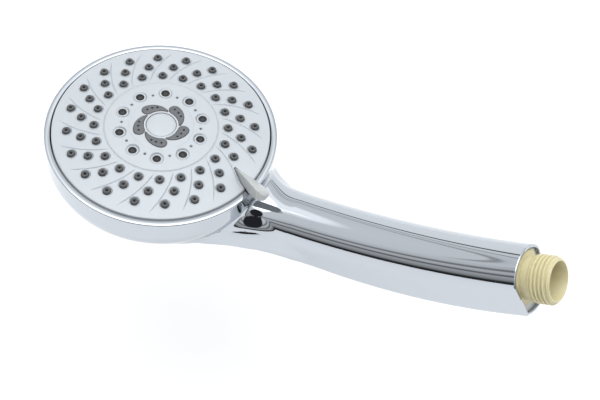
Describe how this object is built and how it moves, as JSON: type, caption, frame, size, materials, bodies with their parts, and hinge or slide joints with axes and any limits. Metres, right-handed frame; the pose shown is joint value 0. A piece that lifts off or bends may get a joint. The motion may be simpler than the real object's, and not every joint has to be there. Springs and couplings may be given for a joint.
{
  "type": "handheld shower head",
  "caption": "Round chrome handheld shower head with a curved handle, a turning spray face with rubber nozzles, a selector lever and a threaded hose inlet.",
  "frame": {"origin": "centre of the hose inlet's open mouth", "axes": "+Z is the normal of the spray face, +X runs along the handle from the head towards the inlet, +Y completes the right-handed frame"},
  "size_m": [0.2468, 0.1048, 0.0684],
  "materials": {
    "chrome_shell": "mirror-bright chrome plating on a moulded plastic shell",
    "cream_tube": "smooth moulded",
    "seal_rubber": "matt",
    "inner_plastic": "as moulded",
    "screw_steel": "bright",
    "spring_steel": "bright",
    "face_plastic": "satin silver",
    "lever_plastic": "satin light grey",
    "nozzle_rubber": "matt",
    "pad_rubber": "matt",
    "turbine_plastic": "as moulded"
  },
  "bodies": {
    "handset": {"body_shell": "chrome_shell", "inlet_tube": "cream_tube", "tube_orings": "seal_rubber", "manifold": "inner_plastic", "manifold_screws": "screw_steel", "port_seal": "seal_rubber", "port_spring": "spring_steel", "detent_spring": "spring_steel", "post_oring": "seal_rubber", "centre_screw": "screw_steel", "screw_washer": "screw_steel"},
    "selector": {"face_plate": "face_plastic", "selector_lever": "lever_plastic", "nozzle_mat": "nozzle_rubber", "jet_ring": "face_plastic", "massage_pads": "pad_rubber", "centre_cap": "face_plastic", "divider": "inner_plastic", "plate_screws": "screw_steel", "rotor": "inner_plastic"},
    "turbine": {"turbine": "turbine_plastic"},
    "click_ball": {"detent_ball": "spring_steel"}
  },
  "joints": [
    {"name": "spray_selector", "type": "hinge", "parent": "handset", "child": "selector", "pos_m": [-0.19028, 0, -0.0302], "axis": [0, 0, 1], "range_deg": [0, 20]},
    {"name": "turbine_spin", "type": "hinge", "parent": "selector", "child": "turbine", "pos_m": [-0.19028, 0, -0.0292], "axis": [0, 0, 1], "continuous": true},
    {"name": "click_travel", "type": "slide", "parent": "handset", "child": "click_ball", "axis": [0, 0, 1], "range_m": [0, 0.0006], "stiffness_N_per_m": 1500, "springref_m": 0.0006, "deforming": ["detent_spring"]}
  ]
}
